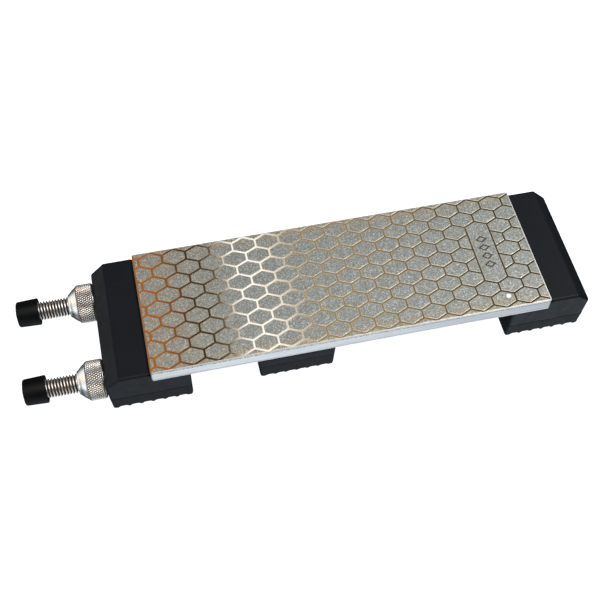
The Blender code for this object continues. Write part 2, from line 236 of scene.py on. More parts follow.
def finished(name, mesh, material, smooth_angle=35.0, weighted=True):
    bm = bmesh.new()
    bm.from_mesh(mesh)
    bmesh.ops.recalc_face_normals(bm, faces=bm.faces)
    bm.to_mesh(mesh)
    bm.free()
    mesh.materials.clear()
    mesh.materials.append(material)
    mesh.shade_smooth()
    mesh.set_sharp_from_angle(angle=math.radians(smooth_angle))
    ob = bpy.data.objects.new(name, mesh)
    bpy.context.scene.collection.objects.link(ob)
    if weighted:
        mod = ob.modifiers.new("even_normals", "WEIGHTED_NORMAL")
        mod.keep_sharp = True
        mod.weight = 60
    return ob


def round_outline(corners, arc_steps=6):
    """corners: (x, z, radius). Returns the closed outline with each corner as an arc."""
    out = []
    n = len(corners)
    for i, (x, z, r) in enumerate(corners):
        p = Vector((x, z))
        a = Vector(corners[i - 1][:2]) - p
        b = Vector(corners[(i + 1) % n][:2]) - p
        if r <= 0 or a.length < 1e-9 or b.length < 1e-9:
            out.append((x, z))
            continue
        half = a.angle(b) / 2
        reach = min(r / math.tan(half), 0.49 * a.length, 0.49 * b.length)
        r = reach * math.tan(half)
        a.normalize()
        b.normalize()
        start, end = p + a * reach, p + b * reach
        centre = p + (a + b).normalized() * (r / math.sin(half))
        s, e = start - centre, end - centre
        sweep = s.angle_signed(e)
        steps = max(2, int(round(arc_steps * abs(sweep) / (math.pi / 2))))
        for k in range(steps + 1):
            q = Matrix.Rotation(-sweep * k / steps, 2) @ s + centre
            out.append((q.x, q.y))
    return out


def inset_outline(points, by):
    """Moves each edge of a closed outline inward by by(edge's middle z, edge's direction)."""
    pts = [Vector(p) for p in points]
    n = len(pts)
    area = sum(pts[i].x * pts[(i + 1) % n].y - pts[(i + 1) % n].x * pts[i].y for i in range(n))
    side = 1.0 if area > 0 else -1.0
    normals, amounts = [], []
    for i in range(n):
        d = pts[(i + 1) % n] - pts[i]
        d.normalize()
        normals.append(Vector((-d.y, d.x)) * side)
        amounts.append(by((pts[i] + pts[(i + 1) % n]) / 2, d))
    out = []
    for i in range(n):
        n1, n2, d1, d2 = normals[i - 1], normals[i], amounts[i - 1], amounts[i]
        det = n1.x * n2.y - n1.y * n2.x
        if abs(det) < 0.6 and n1.dot(n2) > 0:
            m = (n1 + n2).normalized() * (d1 + d2) / 2
        else:
            m = Vector(((d1 * n2.y - d2 * n1.y) / det, (n1.x * d2 - n2.x * d1) / det))
        out.append(pts[i] + m)
    return out


def slab(name, outline, half_at, radius, material, by=lambda mid, d: 1.0, steps=5):
    """A closed outline in X and Z carried along Y between drafted ends, with its end
    edges rounded over radius."""
    n = len(outline)
    rings = []
    angles = [math.pi / 2 * k / steps for k in range(steps + 1)]
    for a in reversed(angles):
        rings.append((-1.0, a))
    for a in angles:
        rings.append((1.0, a))
    verts, faces = [], []
    for sign, a in rings:
        ring = inset_outline(outline, lambda mid, d, a=a: radius * (1 - math.cos(a)) * by(mid, d))
        for (x0, z0), p in zip(outline, ring):
            verts.append((p.x, sign * (half_at(p.y) - radius + radius * math.sin(a)), p.y))
    for k in range(len(rings) - 1):
        for i in range(n):
            j = (i + 1) % n
            faces.append((k * n + i, k * n + j, (k + 1) * n + j, (k + 1) * n + i))
    faces.append(tuple(range(n)))
    faces.append(tuple((len(rings) - 1) * n + i for i in reversed(range(n))))
    return mesh_object(name, verts, faces, material, 40.0)


def box_tool(low, high):
    bm = bmesh.new()
    bmesh.ops.create_cube(bm, size=1.0)
    for v in bm.verts:
        v.co = Vector([(h + l) / 2 + c * (h - l) for c, l, h in zip(v.co, low, high)])
    return tool_object(bm)


def rod_tool(radius, x0, x1, y, z, sides=64):
    bm = bmesh.new()
    bmesh.ops.create_cone(bm, cap_ends=True, segments=sides, radius1=radius, radius2=radius, depth=x1 - x0)
    bmesh.ops.rotate(bm, verts=bm.verts, matrix=Matrix.Rotation(math.pi / 2, 3, "Y"))
    bmesh.ops.translate(bm, verts=bm.verts, vec=((x0 + x1) / 2, y, z))
    return tool_object(bm)


def tool_object(bm):
    mesh = bpy.data.meshes.new("tool")
    bm.to_mesh(mesh)
    bm.free()
    ob = bpy.data.objects.new("tool", mesh)
    bpy.context.scene.collection.objects.link(ob)
    return ob


def carve(ob, tools):
    """Cuts the tools out of ob and keeps the result as its mesh."""
    mods = [m for m in ob.modifiers if m.type == "WEIGHTED_NORMAL"]
    for m in mods:
        ob.modifiers.remove(m)
    for t in tools:
        mod = ob.modifiers.new("cut", "BOOLEAN")
        mod.operation, mod.solver, mod.object = "DIFFERENCE", "EXACT", t
    bpy.context.view_layer.update()
    graph = bpy.context.evaluated_depsgraph_get()
    mesh = bpy.data.meshes.new_from_object(ob.evaluated_get(graph))
    ob.modifiers.clear()
    material = ob.data.materials[0]
    ob.data = mesh
    mesh.materials.clear()
    mesh.materials.append(material)
    mesh.shade_smooth()
    mesh.set_sharp_from_angle(angle=math.radians(38))
    mod = ob.modifiers.new("even_normals", "WEIGHTED_NORMAL")
    mod.keep_sharp = True
    mod.weight = 60
    return ob


def drop(tools):
    for t in tools:
        bpy.data.objects.remove(t, do_unlink=True)


def lathe(name, profile, x, y, z, material, sides=96, closed=False, smooth_angle=35.0):
    """(offset along X, radius) pairs turned about the X axis through y, z."""
    verts, faces = [], []
    rings = []
    for px, r in profile:
        if r < 1e-7:
            rings.append([len(verts)])
            verts.append((x + px, y, z))
        else:
            start = len(verts)
            for k in range(sides):
                a = 2 * math.pi * k / sides
                verts.append((x + px, y + r * math.cos(a), z + r * math.sin(a)))
            rings.append(list(range(start, start + sides)))
    pairs = list(zip(rings, rings[1:]))
    if closed:
        pairs.append((rings[-1], rings[0]))
    for a, b in pairs:
        for k in range(sides):
            j = (k + 1) % sides
            if len(a) == 1:
                faces.append((a[0], b[k], b[j]))
            elif len(b) == 1:
                faces.append((a[k], a[j], b[0]))
            else:
                faces.append((a[k], a[j], b[j], b[k]))
    return mesh_object(name, verts, faces, material, smooth_angle, weighted=False)


def place(piece, body, slot, *replaced):
    if replaced:
        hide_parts(*replaced)
    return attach(piece, body)


# ---------------------------------------------------------------- sizes from the frame
stone_lo, stone_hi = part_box("diamond_sheet_coarse")
core_lo, core_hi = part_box("stone_core")
under_lo, under_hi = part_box("diamond_sheet_fine")
X0, X1 = stone_lo.x, stone_hi.x
HALF_W = stone_hi.y
TOP = stone_hi.z
GAP = 0.0003
CLAMP_LEFT, CLAMP_RIGHT = X0 - GAP, X1 + GAP
LEDGE_Z = under_lo.z - GAP
rod_lo, rod_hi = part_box("guide_rod_rear")
ROD_Y, ROD_Z = (rod_lo.y + rod_hi.y) / 2, (rod_lo.z + rod_hi.z) / 2
ROD_R = (rod_hi.z - rod_lo.z) / 2
PITCH = 0.00125
cap_lo, cap_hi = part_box("rod_end_cap_rear")
nut_lo, nut_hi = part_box("knurled_nut_rear")
sup_lo, sup_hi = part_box("center_support_body")
fix_lo, fix_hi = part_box("fixed_jaw_cover")
JAW_TOP = fix_hi.z
PARTING_Z = fix_lo.z
SOLE_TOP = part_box("fixed_jaw_foot")[1].z
JAW_TOP_W, SHOULDER_U, UNDERCUT, SHOULDER_Z, LEDGE_L = 0.0125, 0.0185, 0.0007, 0.0192, 0.0163
WALL = 0.0020
KNURL_R, KNURL_DEPTH = (nut_hi.z - nut_lo.z) / 2, 0.00034
BORE_R = ROD_R + GAP
HALF_WIDTHS = ((0.0, 0.02813), (0.0087, 0.02875), (0.0192, 0.02916), (0.0248, 0.02967))


def half_width(z):
    rows = HALF_WIDTHS
    if z <= rows[0][0]:
        return rows[0][1]
    for (z0, h0), (z1, h1) in zip(rows, rows[1:]):
        if z <= z1:
            return h0 + (h1 - h0) * (z - z0) / (z1 - z0)
    return rows[-1][1]


def outer_u(z):
    return SHOULDER_U - UNDERCUT * (SHOULDER_Z - z) / SHOULDER_Z


# ---------------------------------------------------------------- materials
RUBBER_TONE = (0.0023, 0.0041, 0.0070)
jaw_rubber = rubber("jaw_rubber", RUBBER_TONE, 0.52)
sole_rubber = rubber("sole_rubber", (0.0030, 0.0042, 0.0062), 0.60, grain=1.3, dust=1.3)
cap_rubber = rubber("cap_rubber", (0.0018, 0.0020, 0.0025), 0.44, grain=0.7, dust=0.6, gloss=0.11)
rod_steels, nut_chromes = {}, {}
for side, sy in (("front", -1.0), ("rear", 1.0)):
    rod_steels[side] = machined("rod_steel_" + side, (0.86, 0.87, 0.88), 0.29, lines=0.6, stain_by=0.12,
                                groove=(sy * ROD_Y, ROD_Z, ROD_R - 0.61343 * PITCH, ROD_R, -1.0, rod_lo.x + 0.064, 0.68, 1.06))
    nut_chromes[side] = machined("nut_chrome_" + side, (0.93, 0.93, 0.92), 0.285, lines=0.5, stain_by=0.08,
                                 groove=(sy * ROD_Y, ROD_Z, KNURL_R - KNURL_DEPTH, KNURL_R, nut_lo.x + 0.0038, nut_hi.x - 0.0002,
                                         0.30, 0.92))
bush_brass = machined("bush_brass", (0.72, 0.52, 0.26), 0.30, stain=(0.32, 0.18, 0.07), stain_by=0.35)
anchor_steel = machined("anchor_steel", (0.60, 0.60, 0.58), 0.34, stain=(0.35, 0.30, 0.16), stain_by=0.30)

nylon = Shader("core_nylon", (0.05, 0.05, 0.055), 0.5, 0.0)
nylon.link(nylon.mix(nylon.span(nylon.noise(700.0, 4.0, 0.7), 0.45, 0.7, 0.0, 1.0),
                     (0.045, 0.045, 0.05), (0.085, 0.085, 0.09)), "Base Color")
nylon.link(nylon.span(nylon.noise(240.0, 3.0), 0.3, 0.7, 0.42, 0.6), "Roughness")
nylon.link(nylon.bump(nylon.noise(2400.0, 3.0, 0.6), 0.00005, 0.5), "Normal")

# brushed aluminium edge of the plate
alu = Shader("plate_aluminium", (0.86, 0.90, 0.95), 0.36, 1.0)
brush = alu.noise(1.0, 4.0, 0.65, vec=alu.mapped(scale=(120.0, 9000.0, 9000.0)))
blotch = alu.noise(110.0, 4.0, 0.6, vec=alu.mapped(scale=(1.0, 3.0, 3.0)))
streak = alu.noise(1.0, 4.0, 0.7, vec=alu.mapped(scale=(26.0, 2400.0, 2400.0)))
alu_tone = alu.mix(alu.span(blotch, 0.35, 0.72, 0.0, 1.0), (0.90, 0.905, 0.90), (0.79, 0.81, 0.815))
alu_tone = alu.mix(alu.span(streak, 0.46, 0.62, 0.0, 0.65), alu_tone, (0.56, 0.60, 0.66))
# painted shade: the near side is darkened towards the fixed jaw
core_len = core_hi.x - core_lo.x
painted_shade_ramp = alu.span(alu.xyz()[0], core_lo.x + 0.18 * core_len, core_lo.x + 0.975 * core_len, 0.0, 0.93)
near_side = alu.span(alu.xyz()[1], core_lo.y + 0.0006, core_lo.y + 0.0014, 1.0, 0.0)
painted_shade_tone = alu.mix(alu.span(streak, 0.42, 0.62, 0.0, 1.0), (0.45, 0.462, 0.472), (0.30, 0.315, 0.335))
alu_tone = alu.mix(alu.math("MULTIPLY", painted_shade_ramp, near_side), alu_tone, painted_shade_tone)
seam_z = alu.span(alu.xyz()[2], core_hi.z - 0.00050, core_hi.z - 0.00022, 0.0, 1.0)
seam_dots = alu.span(alu.noise(1.0, 2.0, 0.6, vec=alu.mapped(scale=(1500.0, 300.0, 300.0))), 0.46, 0.60, 0.0, 1.0)
alu_tone = alu.mix(alu.math("MULTIPLY", alu.math("MULTIPLY", seam_z, seam_dots), 0.85), alu_tone, (0.16, 0.15, 0.14))
alu.link(alu_tone, "Base Color")
alu.link(alu.span(brush, 0.25, 0.75, 0.26, 0.46), "Roughness")
alu.link(alu.bump(brush, 0.00002, 0.5), "Normal")


# plated edge of the two thin sheets
nickel = Shader("sheet_nickel_edge", (0.88, 0.90, 0.92), 0.38, 1.0)
plated = nickel.mix(nickel.span(nickel.noise(1.0, 3.0, 0.6, vec=nickel.mapped(scale=(420.0, 420.0, 3000.0))), 0.40, 0.72,
                                0.0, 0.8), (0.90, 0.92, 0.94), (0.66, 0.60, 0.52))
# painted shade: the sheet edges darken at the left end, where they meet the sliding jaw
painted_end_shade = nickel.span(nickel.xyz()[0], X0 + 0.0004, X0 + 0.0009, 0.90, 0.0)
nickel.link(nickel.mix(painted_end_shade, plated, (0.16, 0.085, 0.035)), "Base Color")
nickel.link(nickel.span(nickel.noise(900.0, 3.0, 0.6), 0.25, 0.75, 0.30, 0.48), "Roughness")
nickel.link(nickel.bump(nickel.noise(2500.0, 3.0, 0.6), 0.00003, 0.5), "Normal")


def edge_distance(s):
    """Distance in from the plate's long and left edges, in metres."""
    x, y, _ = s.xyz()
    from_y = s.math("SUBTRACT", HALF_W, s.math("ABSOLUTE", y))
    from_left = s.math("SUBTRACT", x, X0)
    return x, from_y, from_left


def grit(name, light, warm, rough):
    """Nickel-bonded diamond grit: painted sparkle, grain, a warmer tone near the long edges and a painted warm
    reflection towards the left end.
    """
    s = Shader(name, light, rough, 0.75)
    x, from_y, from_left = edge_distance(s)
    # warmer towards the long edges; towards the left end this warm cast is a painted warm reflection
    rim = s.math("MAXIMUM", s.span(from_y, 0.0005, 0.0080, 0.80, 0.0, True),
                 s.span(from_left, 0.0, 0.050, 0.70, 0.0, True))
    wander = s.span(s.noise(60.0, 3.0, 0.6), 0.3, 0.7, 0.75, 1.15)
    rim = s.math("MULTIPLY", rim, wander)
    base = s.mix(rim, light, warm)
    grain = s.noise(1500.0, 3.0, 0.8)
    base = s.mix(s.span(grain, 0.34, 0.66, 0.0, 1.0), s.mix(1.0, base, (0.60, 0.60, 0.60), "MULTIPLY"),
                 s.mix(1.0, base, (1.34, 1.34, 1.34), "MULTIPLY"))
    # painted glints: scattered bright flecks in the base colour
    flake = s.voronoi(3000.0, out="Color")
    painted_glint = s.span(s.xyz(flake)[0], 0.80, 0.98, 0.0, 0.60)
    base = s.mix(painted_glint, base, (0.95, 0.95, 0.93))
    s.link(base, "Base Color")
    s.link(s.span(s.xyz(flake)[1], 0.0, 1.0, rough - 0.10, rough + 0.14), "Roughness")
    n1 = s.bump(s.noise(2600.0, 2.0, 0.7), 0.00012, 0.55)
    s.link(s.bump(s.xyz(flake)[2], 0.00005, 0.35, n1), "Normal")
    return s.mat


grit_coarse = grit("grit_coarse", (0.296, 0.310, 0.286), (0.352, 0.302, 0.220), 0.50)
grit_fine = grit("grit_fine", (0.42, 0.425, 0.405), (0.44, 0.38, 0.29), 0.42)

# the smooth bronze lines between the cells, with a painted warm reflection at the left end and a painted pale highlight
# along the long edges and the right end
lines = Shader("bronze_lines", (0.72, 0.56, 0.33), 0.20, 1.0)
tone = (0.84, 0.72, 0.50)
cloud = lines.noise(260.0, 4.0, 0.65)
tone = lines.mix(lines.span(cloud, 0.35, 0.70, 0.0, 0.45), tone, (0.64, 0.48, 0.27))
lx, ly, lleft = edge_distance(lines)
from_right = lines.math("SUBTRACT", X1, lx)
near_rim = lines.math("MINIMUM", ly, from_right)
# painted highlight: a pale, rougher band along the long edges and the right end
painted_rim_highlight = lines.span(near_rim, 0.00042, 0.00052, 1.0, 0.0)
# painted warm reflection: more coppery towards the left end
painted_warm_reflection = lines.span(lleft, 0.030, 0.043, 1.0, 0.0, True)
tone = lines.mix(painted_warm_reflection, tone, (0.72, 0.46, 0.20))
tone = lines.mix(painted_rim_highlight, tone, (0.93, 0.93, 0.91))
lines.link(tone, "Base Color")
lines.link(lines.math("MAXIMUM", lines.span(lines.noise(900.0, 3.0, 0.6), 0.25, 0.75, 0.04, 0.09),
                      lines.math("MULTIPLY", painted_rim_highlight, 0.45)), "Roughness")
lines.link(lines.bump(lines.noise(500.0, 3.0, 0.6), 0.00002, 0.20), "Normal")
bronze = lines.mat

# the cells' worn rims, bright where the grit has rubbed through
edge_wear = Shader("cell_edge_nickel", (0.86, 0.85, 0.80), 0.42, 0.55)
worn = edge_wear.span(edge_wear.noise(1100.0, 3.0, 0.7), 0.30, 0.62, 0.0, 1.0)
_, _, wear_left = edge_distance(edge_wear)
# painted shade: the worn rims darken towards the left end
painted_left_shade = edge_wear.span(wear_left, 0.030, 0.046, 0.72, 0.0, True)
edge_wear.link(edge_wear.mix(painted_left_shade, edge_wear.mix(worn, (0.26, 0.20, 0.12), (0.70, 0.65, 0.54)), (0.13, 0.075, 0.035)),
               "Base Color")
edge_wear.link(edge_wear.span(worn, 0.0, 1.0, 0.55, 0.32), "Roughness")
edge_nickel = edge_wear.mat

ink = Shader("mark_ink", (0.05, 0.03, 0.015), 0.5, 0.3)
ink.link(ink.mix(ink.span(ink.noise(2200.0, 3.0, 0.7), 0.4, 0.7, 0.0, 1.0), (0.035, 0.020, 0.010), (0.11, 0.075, 0.04)),
         "Base Color")
ink.link(ink.span(ink.noise(900.0), 0.3, 0.7, 0.35, 0.55), "Roughness")
dot_white = Shader("dot_white", (0.95, 0.95, 0.95), 0.35, 0.0)
dot_white.link(dot_white.mix(dot_white.span(dot_white.noise(3000.0), 0.3, 0.7, 0.0, 1.0), (0.93, 0.93, 0.92),
                             (0.99, 0.99, 0.99)), "Base Color")

# ---------------------------------------------------------------- jaws
ARC = 6


def sole_line(x0, x1, ribs=7, depth=0.00095, first=0.0020, corner=0.0017):
    """The underside from x0 to x1: rounded ribs that stand on the bench, hollow
    lands between them, and a small round at each outer corner."""
    pts = [(x0, 0.0030)]
    for k in range(6):
        a = math.pi * (1.0 + 0.5 * k / 5)
        pts.append((x0 + corner + corner * math.cos(a), corner + corner * math.sin(a)))
    pitch = (x1 - x0 - 2 * first) / (ribs - 1)
    for i in range(ribs - 1):
        for k in range(18):
            t = (k + (0.5 if i or k else 0.9)) / 18
            reach = min(t, 1 - t) * pitch
            rise = min(1.0, max(0.0, (reach - 0.00045) / 0.00085))
            arch = 0.86 + 0.14 * math.sin(math.pi * t)
            pts.append((x0 + first + (i + t) * pitch, depth * arch * rise * rise * (3 - 2 * rise)))
    for k in range(6):
        a = math.pi * (1.5 + 0.5 * k / 5)
        pts.append((x1 - corner + corner * math.cos(a), corner + corner * math.sin(a)))
    pts.append((x1, 0.0030))
    return pts


def jaw_outline(clamp_x, outward):
    corners = [
        (-LEDGE_L, PARTING_Z, 0.0), (-LEDGE_L, LEDGE_Z, 0.0012), (0.0, LEDGE_Z, 0.0005), (0.0, JAW_TOP, 0.0006),
        (JAW_TOP_W, JAW_TOP, 0.0016), (SHOULDER_U, SHOULDER_Z, 0.0018), (outer_u(PARTING_Z), PARTING_Z, 0.0)]
    return round_outline([(clamp_x + outward * u, z, r) for u, z, r in corners], ARC)


def parting_light(zp):
    """Edges on the parting plane keep a nearly square rim."""
    return lambda mid, d: 0.12 if abs(d.y) < 0.2 and abs(mid.y - zp) < 0.0006 else 1.0


def jaw(prefix, body, clamp_x, outward, through):
    def x_at(u):
        return clamp_x + outward * u

    cover = slab(prefix + "_cover_rubber", jaw_outline(clamp_x, outward), half_width, 0.0013, jaw_rubber,
                 parting_light(PARTING_Z))
    seam = 0.00014
    inner, outer = sorted((x_at(-LEDGE_L), x_at(outer_u(0.0))))
    top_z = SOLE_TOP + seam
    a, b = sorted((x_at(-LEDGE_L), x_at(outer_u(top_z))))
    outline = [(a, top_z)] + sole_line(inner, outer) + [(b, top_z)]
    sole = slab(prefix + "_sole_rubber", outline, half_width, 0.0011, sole_rubber,
                lambda mid, d: 0.12 if abs(mid.y - top_z) < 0.0003 else (0.30 if mid.y < 0.0012 else 1.0))

    tools = []
    low_z = PARTING_Z - 0.002
    pocket_pts = [(-LEDGE_L + WALL, low_z), (-LEDGE_L + WALL, LEDGE_Z - WALL), (WALL, LEDGE_Z - WALL),
                  (WALL, JAW_TOP - WALL), (JAW_TOP_W - 0.4 * WALL, JAW_TOP - WALL),
                  (SHOULDER_U - WALL, SHOULDER_Z - 0.4 * WALL), (outer_u(low_z) - WALL, low_z)]
    n = len(pocket_pts)
    verts = [(x_at(u), y, z) for y in (-0.0270, 0.0270) for u, z in pocket_pts]
    faces = [tuple(range(n)), tuple(reversed(range(n, 2 * n)))]
    faces += [(i, (i + 1) % n, n + (i + 1) % n, n + i) for i in range(n)]
    pocket = mesh_object("tool", verts, faces, jaw_rubber, weighted=False)
    for sy in (-1.0, 1.0):
        far = SHOULDER_U + 0.002 if through else 0.0143
        a, b = sorted((x_at(-LEDGE_L - 0.002), x_at(far)))
        tools.append(rod_tool(BORE_R, a, b, sy * ROD_Y, ROD_Z))
        if through:
            a, b = sorted((x_at(outer_u(ROD_Z) - 0.0143), x_at(SHOULDER_U + 0.002)))
            tools.append(rod_tool(0.0060, a, b, sy * ROD_Y, ROD_Z))
            a, b = sorted((x_at(outer_u(ROD_Z) - 0.0018), x_at(SHOULDER_U + 0.002)))
            tools.append(rod_tool(0.0073, a, b, sy * ROD_Y, ROD_Z))
    carve(cover, [pocket] + tools)
    slots = []
    if not through:
        reach = 0.0130 / math.sqrt(3) + GAP
        for sy in (-1.0, 1.0):
            a, b = sorted((x_at(0.0050 - GAP), x_at(0.0115 + GAP)))
            slots.append(box_tool((a, sy * ROD_Y - 0.0065 - GAP, ROD_Z - reach),
                                  (b, sy * ROD_Y + 0.0065 + GAP, ROD_Z + reach)))
    carve(sole, tools + slots)
    drop([pocket] + tools + slots)
    place(cover, body, "jaw_rubber", prefix + "_cover")
    place(sole, body, "sole_rubber", prefix + "_foot")
    return cover, sole


jaw("sliding_jaw", "sliding_jaw", CLAMP_LEFT, -1.0, True)
jaw("fixed_jaw", "frame", CLAMP_RIGHT, 1.0, False)

# ---------------------------------------------------------------- centre support
SUP_TOP_X, SUP_BOTTOM_X = (sup_lo.x, sup_hi.x - 0.0001), (sup_lo.x + 0.0013, sup_hi.x + 0.0003)
SUP_TOP_HALF, SUP_BOTTOM_HALF, SUP_PARTING = 0.0300, 0.0259, sup_lo.z


def sup_half(z):
    return SUP_BOTTOM_HALF + (SUP_TOP_HALF - SUP_BOTTOM_HALF) * z / LEDGE_Z


def sup_x(z, k):
    return SUP_BOTTOM_X[k] + (SUP_TOP_X[k] - SUP_BOTTOM_X[k]) * z / LEDGE_Z


upper = slab("center_support_upper", round_outline([
    (sup_x(SUP_PARTING, 0), SUP_PARTING, 0.0), (SUP_TOP_X[0], LEDGE_Z, 0.0010), (SUP_TOP_X[1], LEDGE_Z, 0.0010),
    (sup_x(SUP_PARTING, 1), SUP_PARTING, 0.0)], ARC), sup_half, 0.0011, jaw_rubber, parting_light(SUP_PARTING))
top_z = SUP_PARTING - GAP + 0.00014
lower = slab("center_support_sole", [(sup_x(top_z, 0), top_z)] + sole_line(*SUP_BOTTOM_X) + [(sup_x(top_z, 1), top_z)],
             sup_half, 0.0011, sole_rubber,
             lambda mid, d: 0.12 if abs(mid.y - top_z) < 0.0003 else (0.30 if mid.y < 0.0012 else 1.0))
tools = [rod_tool(BORE_R, sup_lo.x - 0.003, sup_hi.x + 0.003, sy * ROD_Y, ROD_Z) for sy in (-1.0, 1.0)]
carve(upper, tools)
carve(lower, tools)
drop(tools)
place(upper, "center_support", "jaw_rubber", "center_support_body")
place(lower, "center_support", "sole_rubber", "center_support_foot")


# ---------------------------------------------------------------- threaded rods
def thread_height(s):
    """Height of the thread, 0 at the root to 1 at the crest, over one pitch."""
    d = abs((s % 1.0) - 0.5) * 2
    h = min(1.0, max(0.0, (d - 0.16) / 0.56))
    return 0.6 * h + 0.4 * h * h * (3 - 2 * h)


def threaded_rod(name, y, body, node):
    lo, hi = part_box(node)
    sides, per_pitch = 48, 12
    minor = ROD_R - 0.61343 * PITCH
    start, end = lo.x, hi.x
    run = 0.064
    verts, faces = [], []
    xs = [start + i * PITCH / per_pitch for i in range(int(run / PITCH * per_pitch) + 1)]
    xs += [xs[-1] + 0.0008, (xs[-1] + end) / 2, end - 0.0006, end]
    for x in xs:
        for k in range(sides):
            turn_share = k / sides
            lead_in = min(1.0, (x - start) / 0.0010)
            r = minor + (ROD_R - minor) * thread_height((x - start) / PITCH - turn_share) if x - start <= run else ROD_R
            fade = min(1.0, max(0.0, (start + run - x) / (2.0 * PITCH)))
            if x - start <= run:
                r = ROD_R + (r - ROD_R) * fade
            r = min(r, minor - 0.0001 + lead_in * (ROD_R - minor + 0.0001))
            if x >= end - 1e-9:
                r = ROD_R - 0.0006
            a = 2 * math.pi * turn_share
            verts.append((x, y + r * math.cos(a), ROD_Z + r * math.sin(a)))
    rings = len(xs)
    for i in range(rings - 1):
        for k in range(sides):
            j = (k + 1) % sides
            faces.append((i * sides + k, i * sides + j, (i + 1) * sides + j, (i + 1) * sides + k))
    faces.append(tuple(reversed(range(sides))))
    faces.append(tuple((rings - 1) * sides + k for k in range(sides)))
    rod = mesh_object(name, verts, faces, rod_steels[name.split("_")[-1]], 50.0, weighted=False)
    place(rod, body, "rod_steel", node)


threaded_rod("threaded_rod_front", -ROD_Y, "frame", "guide_rod_front")
threaded_rod("threaded_rod_rear", ROD_Y, "frame", "guide_rod_rear")


# ---------------------------------------------------------------- knurled nuts
def knurl_height(u, v):
    a, b = abs((u % 1.0) - 0.5) * 2, abs((v % 1.0) - 0.5) * 2
    return min(1.0, 1.9 * (1 - max(a, b)))


def nut_piece(name, y, body, node):
    lo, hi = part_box(node)
    length, R = hi.x - lo.x, (hi.z - lo.z) / 2
    bore = 0.00425
    teeth, per = 51, 6
    sides = teeth * per
    axial = 2 * math.pi * R / teeth / math.tan(math.radians(32))
    k0, k1 = 0.00395, length - 0.00025
    count = int(round((k1 - k0) / axial * per))
    depth = KNURL_DEPTH
    profile = [(length - 0.0004, bore, 0), (length, bore + 0.0004, 0), (length, R - 0.0006, 0), (length - 0.00012, R - 0.00035, 0)]
    for i in range(count + 1):
        px = k1 + (k0 - k1) * i / count
        profile.append((px, R, 1))
    nose = 0.0051
    profile += [(k0 - 0.00022, R - 0.00040, 0), (k0 - 0.00040, R - 0.00070, 0), (k0 - 0.00055, R - 0.00082, 0)]
    for i in range(9):
        t = i / 8
        px = (k0 - 0.00075) * (1 - t) + 0.00075 * t
        r = (R - 0.00100) * (1 - t) + (nose + 0.00020) * t + 0.00016 * math.sin(math.pi * t)
        profile.append((px, r, 0))
    profile += [(0.00050, nose + 0.00002, 0), (0.00022, nose - 0.00012, 0), (0.00006, nose - 0.00030, 0),
                (0.0, nose - 0.00050, 0), (0.0, bore + 0.0002, 0), (0.0003, bore, 0)]
    verts, faces = [], []
    for px, r, knurled in profile:
        for k in range(sides):
            a = 2 * math.pi * k / sides
            rr = r
            if knurled:
                u = k / per + px / axial
                v = k / per - px / axial
                end = min(1.0, (px - k0) / 0.0004 + 0.15, (k1 - px) / 0.0004 + 0.15)
                rr = r - depth + depth * knurl_height(u, v) * max(0.0, end)
            verts.append((lo.x + px, y + rr * math.cos(a), ROD_Z + rr * math.sin(a)))
    n = len(profile)
    for i in range(n):
        m = (i + 1) % n
        for k in range(sides):
            j = (k + 1) % sides
            faces.append((i * sides + k, i * sides + j, m * sides + j, m * sides + k))
    nut = mesh_object(name, verts, faces, nut_chromes[node.split("_")[-1]], 28.0, weighted=False)
    place(nut, body, "nut_chrome", node)


nut_piece("knurled_nut_front_chrome", -ROD_Y, "nut_front", "knurled_nut_front")
nut_piece("knurled_nut_rear_chrome", ROD_Y, "nut_rear", "knurled_nut_rear")


# ---------------------------------------------------------------- rod end caps
def cap_piece(name, y, body, node):
    lo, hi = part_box(node)
    L = hi.x - lo.x
    r_end, r_rim, bore = 0.00555, 0.00585, ROD_R + 0.0001
    prof = [(0.0021, 0.0), (0.0021, bore - 0.0003), (0.0024, bore), (L - 0.0021, bore), (L - 0.0017, 0.00475),
            (L - 0.0003, 0.00485), (L - 0.00008, 0.00495), (L, 0.00512), (L, 0.00555)]
    for k in range(5):
        a = math.pi / 2 * k / 4
        prof.append((L - 0.0003 + 0.0003 * math.cos(a), r_rim - 0.0003 + 0.0003 * math.sin(a)))
    r0 = 0.0009
    for k in range(7):
        a = math.pi / 2 * k / 6
        prof.append((0.00055 + r0 - r0 * math.sin(a), r_end - r0 + r0 * math.cos(a)))
    for k in range(1, 5):
        t = k / 5
        prof.append((0.00055 * (1 - t) ** 1.0 * (1 - t), (r_end - r0) * (1 - t)))
    prof.append((0.0, 0.0))
    cap = lathe(name, prof, lo.x, y, ROD_Z, cap_rubber, sides=96)
    place(cap, body, "cap_rubber", node)


cap_piece("rod_cap_front_rubber", -ROD_Y, "frame", "rod_end_cap_front")
cap_piece("rod_cap_rear_rubber", ROD_Y, "frame", "rod_end_cap_rear")

# ---------------------------------------------------------------- diamond plate
STEP_X, STEP_Y = 0.0102, 0.006278
HEX_HALF_X, HEX_FLAT, HEX_TIP = STEP_X / 2, 0.001944, 0.004333
LINE = 0.00072
RISE = 0.00010


def clip(poly, nx, ny, d):
    """Keeps the part of a convex polygon where nx*x + ny*y <= d."""
    out = []
    for i, p in enumerate(poly):
        q = poly[(i + 1) % len(poly)]
        a, b = nx * p[0] + ny * p[1] - d, nx * q[0] + ny * q[1] - d
        if a <= 0:
            out.append(p)
        if a * b < 0:
            t = a / (a - b)
            out.append((p[0] + t * (q[0] - p[0]), p[1] + t * (q[1] - p[1])))
    return out


def shrink(poly, by):
    """Insets a convex polygon that runs anticlockwise."""
    out = list(poly)
    for i in range(len(poly)):
        (x0, y0), (x1, y1) = poly[i], poly[(i + 1) % len(poly)]
        dx, dy = x1 - x0, y1 - y0
        length = math.hypot(dx, dy)
        if length < 1e-7:
            continue
        nx, ny = dy / length, -dx / length
        out = clip(out, nx, ny, nx * x0 + ny * y0 - by)
        if len(out) < 3:
            return []
    return out


def area(poly):
    return sum(p[0] * q[1] - q[0] * p[1] for p, q in zip(poly, poly[1:] + poly[:1])) / 2


